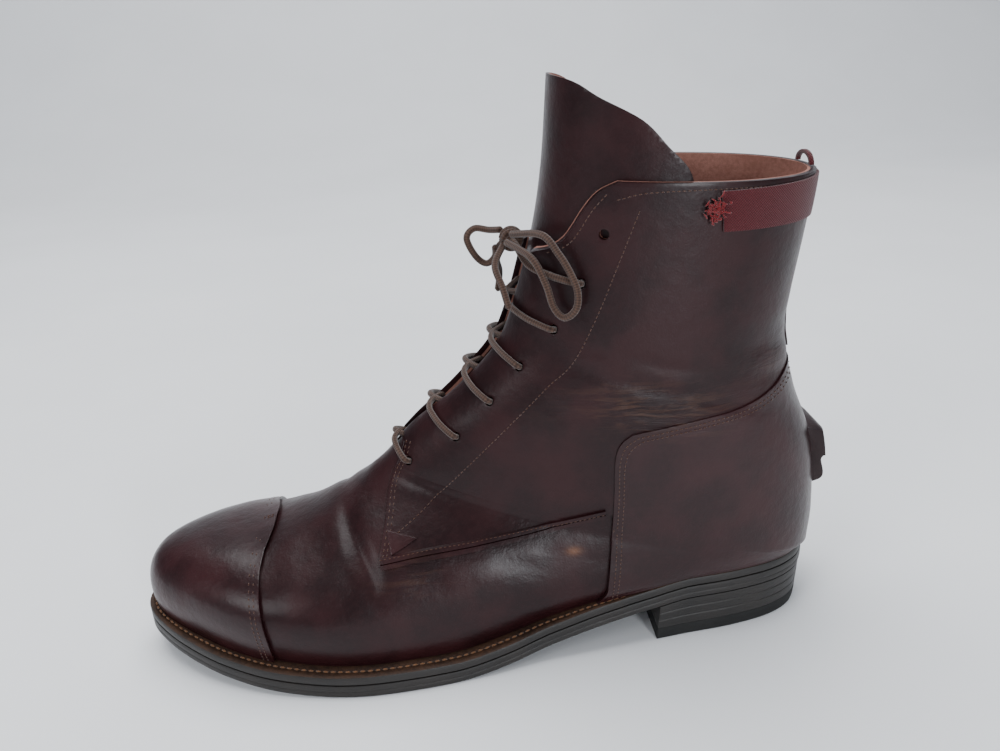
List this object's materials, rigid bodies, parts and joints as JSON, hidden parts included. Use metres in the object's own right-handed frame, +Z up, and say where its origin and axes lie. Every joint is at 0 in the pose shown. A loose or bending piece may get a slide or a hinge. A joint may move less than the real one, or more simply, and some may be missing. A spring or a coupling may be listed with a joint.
{
  "type": "riding ankle boot",
  "caption": "Left lace-up leather riding ankle boot with a toe cap, outer heel counter, spur rest, wide raised tongue, low stacked heel and a welted leather sole, tied in a bow",
  "frame": {"origin": "middle of the flat bottom of the heel, on the floor", "axes": "+X towards the toe, +Y towards the outer (lateral) side of this left boot, +Z up"},
  "size_m": [0.3081, 0.1055, 0.2372],
  "materials": {
    "oxblood_leather": "polished, worn",
    "cap_leather": "polished",
    "sole_leather": "matt dyed edge",
    "heel_rubber": "matt",
    "insole_leather": "plain",
    "woven_red": "woven",
    "lace_brown": "round waxed cord"
  },
  "bodies": {
    "root": {"outsole": "sole_leather", "welt": "sole_leather", "insole": "insole_leather", "heel_top_piece": "heel_rubber", "heel_stack": "sole_leather", "upper": "oxblood_leather", "tongue": "oxblood_leather", "toe_cap": "cap_leather", "heel_counter": "cap_leather", "quarter_strip_lateral": "oxblood_leather", "quarter_strip_medial": "oxblood_leather", "back_stay": "oxblood_leather", "pull_band": "woven_red", "spur_rest": "oxblood_leather", "pull_loop": "woven_red", "lace_crossing_1": "lace_brown", "lace_crossing_2": "lace_brown", "lace_crossing_3": "lace_brown", "lace_crossing_4": "lace_brown", "lace_crossing_5": "lace_brown", "lace_knot": "lace_brown", "lace_lead_lateral": "lace_brown", "lace_lead_medial": "lace_brown", "lace_loop_lateral": "lace_brown", "lace_loop_medial": "lace_brown", "lace_end_lateral": "lace_brown", "lace_end_medial": "lace_brown"}
  },
  "joints": []
}
